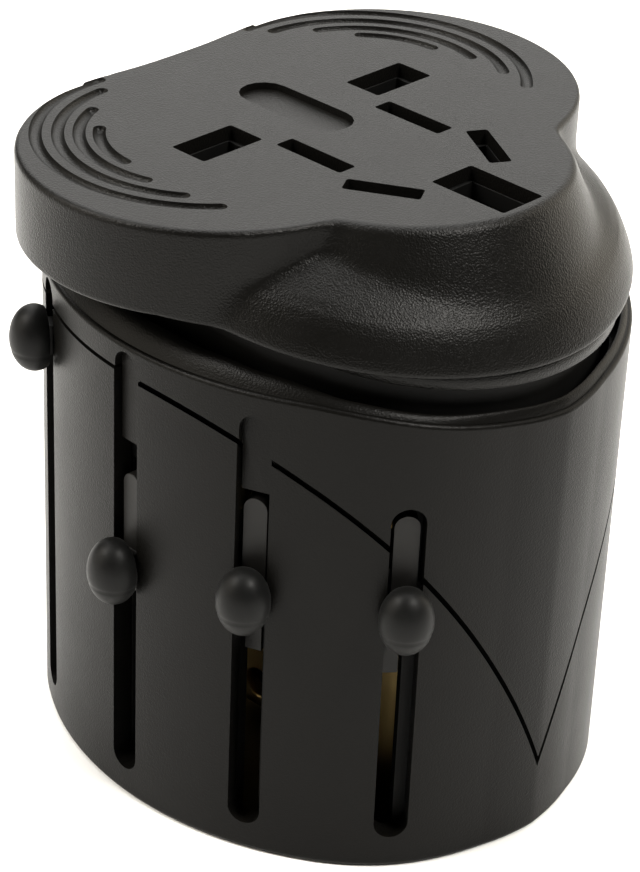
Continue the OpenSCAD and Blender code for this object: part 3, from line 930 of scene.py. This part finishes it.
def springTree():
    tree = nodeTreeFor("springCoil", [
        ("Turns", "NodeSocketFloat", 6.0), ("Radius", "NodeSocketFloat", 0.002),
        ("Height", "NodeSocketFloat", 0.01), ("Wire", "NodeSocketFloat", 0.0002),
        ("Material", "NodeSocketMaterial", None),
    ])
    start = placeNode(tree, "NodeGroupInput")
    coil = placeNode(tree, "GeometryNodeCurveSpiral", {
        "Resolution": 28, "Rotations": start.outputs["Turns"], "Start Radius": start.outputs["Radius"],
        "End Radius": start.outputs["Radius"], "Height": start.outputs["Height"],
    })
    ring = placeNode(tree, "GeometryNodeCurvePrimitiveCircle", {
        "Resolution": 10, "Radius": start.outputs["Wire"],
    })
    wire = placeNode(tree, "GeometryNodeCurveToMesh", {
        "Curve": coil.outputs["Curve"], "Profile Curve": ring.outputs["Curve"], "Fill Caps": True,
    })
    return closeTree(tree, start, wire.outputs["Mesh"])


def makeSprings():
    lowBox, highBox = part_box("head_springs")
    tree = springTree()
    coils = []
    for x, y in springShape["places"]:
        coil = growNodes(tree, "headSprings", {
            "Turns": springShape["turns"], "Radius": springShape["radius"] * mm,
            "Height": highBox.z - lowBox.z - 2 * springShape["wire"] * mm, "Wire": springShape["wire"] * mm,
        }, zincSteel)
        coil.data.transform(Matrix.Translation((x * mm, y * mm, lowBox.z + springShape["wire"] * mm)))
        coils.append(coil)
    springs = joinMeshes(coils, faceOutwards=True)
    smoothShade(springs, 60)
    finishPiece(springs, "casing", "steel", zincSteel, "head_springs")


makeSprings()
print("springs done")


# every other part keeps its CAD shape, with softened edges and its own finish

softParts = {
    "base_plate": ("basePlate", 0.2, "casing_black", casingPlastic),
    "core_frame": ("coreFrame", 0.12, "inner_black", innerPlastic),
    "socket_block": ("socketBlock", 0.15, "inner_black", innerPlastic),
    "head_skirt": ("headSkirt", 0.15, "inner_black", innerPlastic),
    "inner_plate": ("innerPlate", 0.1, "inner_black", innerPlastic),
    "line_contact": ("lineContact", 0.06, "contact_brass", contactBrass),
    "neutral_contact": ("neutralContact", 0.06, "contact_brass", contactBrass),
    "earth_contact": ("earthContact", 0.06, "contact_brass", contactBrass),
    "line_rail": ("lineRail", 0.06, "contact_brass", contactBrass),
    "neutral_rail": ("neutralRail", 0.06, "contact_brass", contactBrass),
    "casing_screws": ("casingScrews", 0.05, "steel", zincSteel),
    "uk_carrier": ("ukCarrier", 0.2, "inner_black", sliderPlastic),
    "uk_mains_pins": ("ukMainsPins", 0.25, "pin_brass", pinBrass),
    "uk_earth_pin": ("ukEarthPin", 0.25, "pin_brass", pinBrass),
    "eu_carrier": ("euCarrier", 0.2, "inner_black", sliderPlastic),
    "eu_pins": ("euPins", 0.12, "pin_nickel", pinNickel),
    "eu_pin_sleeves": ("euPinSleeves", 0.05, "inner_black", innerPlastic),
    "us_carrier": ("usCarrier", 0.2, "inner_black", sliderPlastic),
    "us_blades": ("usBlades", 0.18, "pin_brass", pinBrass),
    "aus_carrier": ("ausCarrier", 0.2, "inner_black", sliderPlastic),
    "aus_blades": ("ausBlades", 0.18, "pin_brass", pinBrass),
}


def softenNode(node, name, width, slotName, material):
    source = frame["nodes"][node]
    obj = newObject(name, source.data.copy())
    bm = bmesh.new()
    bm.from_mesh(obj.data)
    bmesh.ops.remove_doubles(bm, verts=bm.verts, dist=0.002 * mm)
    bmesh.ops.recalc_face_normals(bm, faces=bm.faces)
    bmesh.ops.dissolve_limit(bm, angle_limit=math.radians(0.5), verts=bm.verts, edges=bm.edges)
    bm.to_mesh(obj.data)
    bm.free()
    softenEdges(obj, width, 38)
    evenNormals(obj)
    return finishPiece(obj, source["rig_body"], slotName, material, node)


for node, (name, width, slotName, material) in softParts.items():
    softenNode(node, name, width, slotName, material)
print("inner parts done")


# floor, light and camera

studio = {
    "camera": (-171.66, -160.51, 167.34), "target": (-1.245, -0.286, 31.085), "roll": 2.493, "lens": 116.72,
    "floorTone": (0.93, 0.93, 0.92, 1), "floorShade": (0.91, 0.91, 0.9, 1),
    "floorSize": 3.0, "floorCells": 32, "world": (1.0, 0.985, 0.96, 1), "worldStrength": 0.03,
}

white, warm, day = (1.0, 0.99, 0.97), (1.0, 0.92, 0.78), (1.0, 0.97, 0.92)
studioLights = (  # name, place, size, watts, colour
    ("backWall", (0.45, 0.43, 0.36), (0.85, 0.5), 3.0, (1.0, 0.985, 0.95)),
    ("overhead", (0.07, 0.09, 0.40), (0.36, 0.36), 2.4, white),
    ("leftWall", (-0.44, 0.34, 0.30), (0.6, 0.5), 2.1, warm),
    ("leftKey", (-0.30, 0.18, 0.42), (0.16, 0.16), 1.8, day),
    ("rightWall", (0.55, -0.16, 0.24), (0.5, 0.5), 2.4, warm),
    ("frontKey", (0.04, -0.36, 0.50), (0.14, 0.14), 3.6, day),
)


def makeFloor():
    # a flat pale sheet of paper
    half, cells = studio["floorSize"], studio["floorCells"]
    row = cells + 1
    points, faces = [], []
    for j in range(row):
        for i in range(row):
            x, y = (2 * i / cells - 1) * half, (2 * j / cells - 1) * half
            points.append((x / mm, y / mm, 0.0))
    for j in range(cells):
        here, there = j * row, (j + 1) * row
        faces += [[here + i, here + i + 1, there + i + 1, there + i] for i in range(cells)]
    floor = meshFrom("floor", points, faces)
    for face in floor.data.polygons:
        if face.normal.z < 0:
            face.flip()
    f = Finish("paleFloor")
    paper = f.noise(60.0, 3.0, 0.5)
    tone = f.blendColours(paper, studio["floorShade"], studio["floorTone"])
    f.set(Base_Color=tone, Roughness=0.75)
    f.bump(paper, 0.02, 0.2)
    floor.data.materials.append(f.material)


def areaLight(name, at, size, power, colour, aim=(0.0, 0.0, 0.03)):
    data = bpy.data.lights.new(name, "AREA")
    data.shape = "RECTANGLE"
    data.size, data.size_y = size
    data.energy = power
    data.color = colour
    light = bpy.data.objects.new(name, data)
    light.location = at
    light.rotation_mode = "QUATERNION"
    light.rotation_quaternion = (Vector(aim) - Vector(at)).to_track_quat("-Z", "Y")
    scene.collection.objects.link(light)


def makeCamera():
    data = bpy.data.cameras.new("camera")
    data.lens = studio["lens"]
    data.sensor_width = 36.0
    data.clip_start, data.clip_end = 0.01, 50.0
    camera = bpy.data.objects.new("camera", data)
    at, target = Vector(studio["camera"]) * mm, Vector(studio["target"]) * mm
    camera.location = at
    camera.rotation_mode = "QUATERNION"
    facing = (target - at).to_track_quat("-Z", "Y").to_matrix().to_4x4()
    roll = Matrix.Rotation(math.radians(studio["roll"]), 4, "Z")
    camera.rotation_quaternion = (facing @ roll).to_quaternion()
    scene.collection.objects.link(camera)
    scene.camera = camera


makeFloor()
world = bpy.data.worlds.new("studioWorld")
world.use_nodes = True
world.node_tree.nodes["Background"].inputs["Color"].default_value = studio["world"]
world.node_tree.nodes["Background"].inputs["Strength"].default_value = studio["worldStrength"]
scene.world = world
for name, at, size, power, colour in studioLights:
    areaLight(name, at, size, power, colour)
makeCamera()
scene.view_settings.view_transform = "Standard"
print("studio ready")
